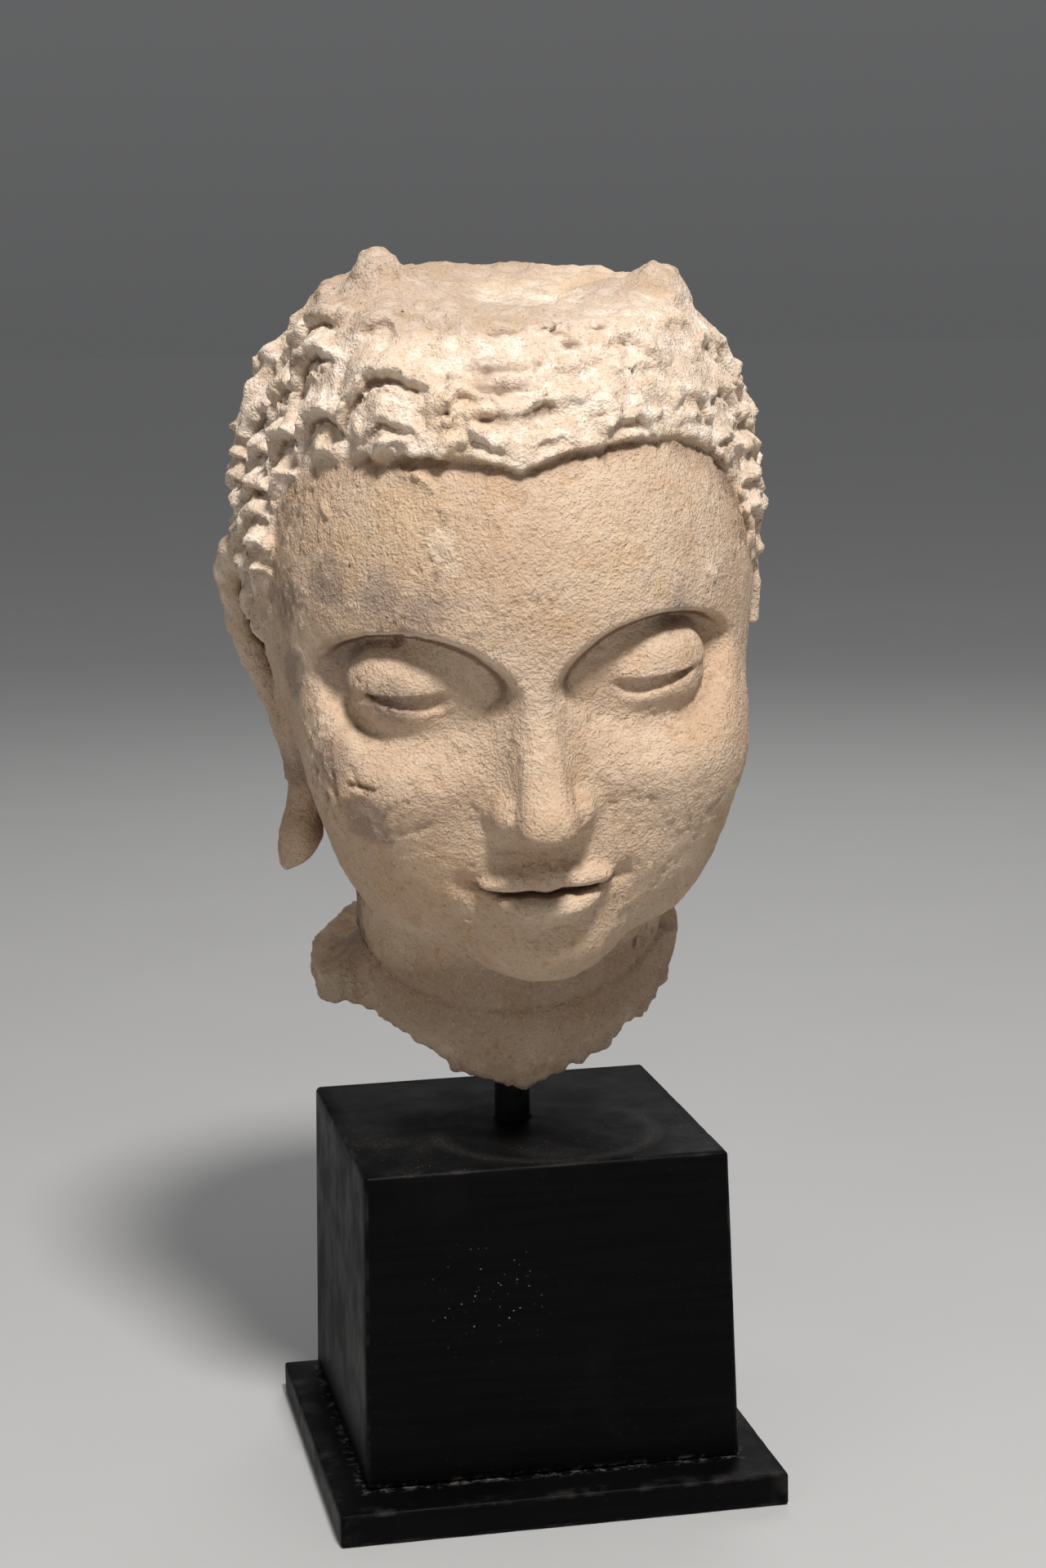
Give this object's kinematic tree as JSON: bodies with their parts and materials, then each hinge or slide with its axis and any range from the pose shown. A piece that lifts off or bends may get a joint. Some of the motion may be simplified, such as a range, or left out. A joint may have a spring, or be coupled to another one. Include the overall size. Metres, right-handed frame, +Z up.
{
  "type": "buddha head sculpture",
  "caption": "Ancient stucco head with arched hair locks, lost crown, one long ear and a broken neck, held by a steel rod over a black wooden plinth.",
  "frame": {"origin": "centre of the plinth slab's underside", "axes": "+Z up; the head and the plinth's front look towards -Y; +X is to the viewer's right"},
  "size_m": [0.1519, 0.1807, 0.3392],
  "materials": {
    "stucco": "dry sandy lime stucco, cream to tan, worn, with grey and violet stains",
    "rod_steel": "blackened satin steel",
    "black_wood": "black painted wood, satin, faint horizontal grain, light wear and dust"
  },
  "bodies": {
    "root": {"stucco_head": "stucco", "mount_rod": "rod_steel", "plinth_block": "black_wood", "plinth_slab": "black_wood"}
  },
  "joints": []
}
